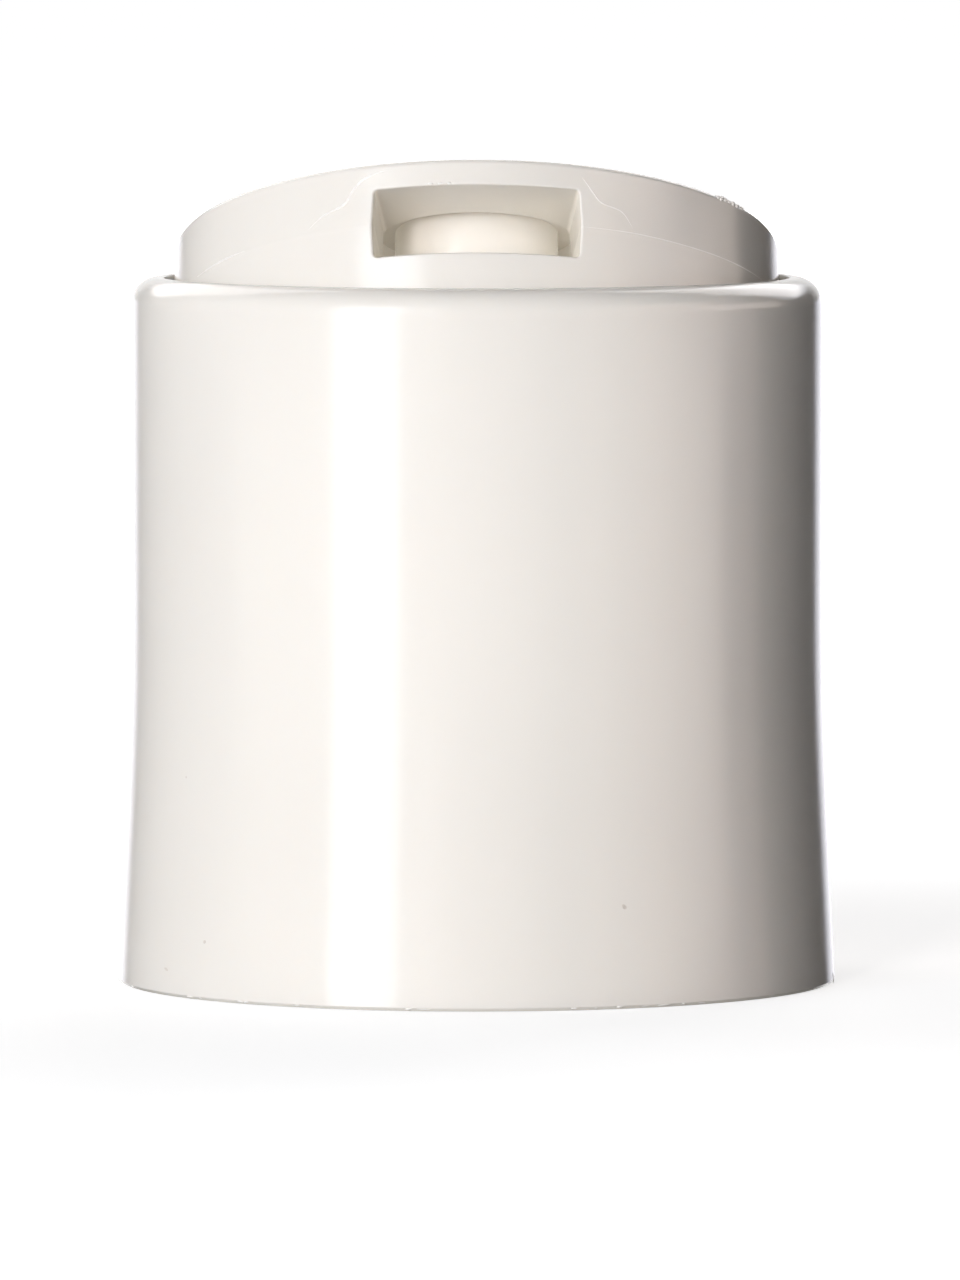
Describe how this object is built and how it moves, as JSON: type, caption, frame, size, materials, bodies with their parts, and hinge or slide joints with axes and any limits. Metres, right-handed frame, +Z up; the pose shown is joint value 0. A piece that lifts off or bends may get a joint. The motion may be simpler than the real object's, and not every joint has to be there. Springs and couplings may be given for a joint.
{
  "type": "disc top cap",
  "caption": "Disc top dispensing closure for a 24-410 bottle neck: a smooth screw cap body with a tilting press disc that opens a side window.",
  "frame": {"origin": "centre of the base rim of the cap body", "axes": "+Z up along the neck axis, the dispensing window of the disc faces -Y, and +X is to the right seen from the window"},
  "size_m": [0.0274, 0.0274, 0.0316],
  "materials": {
    "white_body": "glossy injection-moulded polypropylene",
    "white_disc": "glossy injection-moulded polypropylene"
  },
  "bodies": {
    "body": {"cap_body": "white_body"},
    "disc": {"press_disc": "white_disc"}
  },
  "joints": [
    {"name": "disc_tilt", "type": "hinge", "parent": "body", "child": "disc", "pos_m": [0, 0.00286, 0.02448], "axis": [1, 0, 0], "range_deg": [0, 19.3]}
  ]
}
